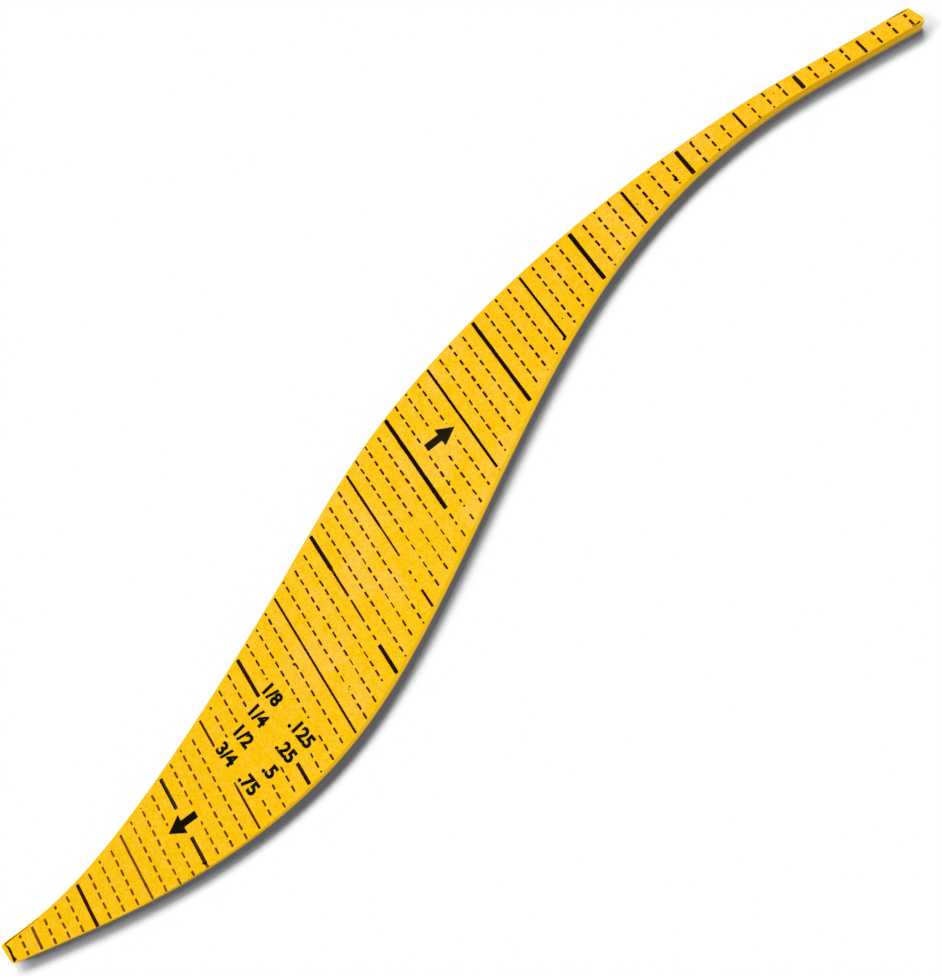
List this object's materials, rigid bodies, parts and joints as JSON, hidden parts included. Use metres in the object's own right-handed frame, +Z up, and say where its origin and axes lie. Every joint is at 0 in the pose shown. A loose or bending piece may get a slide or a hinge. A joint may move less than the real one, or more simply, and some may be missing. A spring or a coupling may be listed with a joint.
{
  "type": "armhole curve ruler",
  "caption": "Flat S-curved plastic drafting ruler for armhole and sleeve curves, with inch graduations and end arrows printed on one face.",
  "frame": {"origin": "below the middle of the blade's bounding box, on the surface that the blade rests on", "axes": "+X along the blade and across its graduation lines, towards the end that the blade rises to; +Y along the lines, towards the long rounded edge; +Z up, out of the printed face"},
  "size_m": [0.2477, 0.0594, 0.0026],
  "materials": {
    "yellow_plastic": "satin moulded plastic, a little soft in its gloss",
    "black_ink": "dry printed ink, brownish where it lies thin"
  },
  "bodies": {
    "root": {"ruler_blade": "yellow_plastic", "first_line": "black_ink", "half_inch_line_0": "black_ink", "half_inch_line_1": "black_ink", "half_inch_line_2_upper": "black_ink", "half_inch_line_2_lower": "black_ink", "half_inch_line_3": "black_ink", "half_inch_line_4_upper": "black_ink", "half_inch_line_4_lower": "black_ink", "half_inch_line_5": "black_ink", "half_inch_line_6": "black_ink", "half_inch_line_7": "black_ink", "half_inch_line_8": "black_ink", "half_inch_line_9": "black_ink", "inch_line_0": "black_ink", "inch_line_1_upper": "black_ink", "inch_line_1_lower": "black_ink", "inch_line_2_upper": "black_ink", "inch_line_2_lower": "black_ink", "inch_line_3_upper": "black_ink", "inch_line_3_neck": "black_ink", "inch_line_3_lower": "black_ink", "inch_line_4": "black_ink", "inch_line_5": "black_ink", "inch_line_6": "black_ink", "inch_line_7": "black_ink", "inch_line_8": "black_ink", "arrow_left": "black_ink", "arrow_right": "black_ink"}
  },
  "joints": []
}
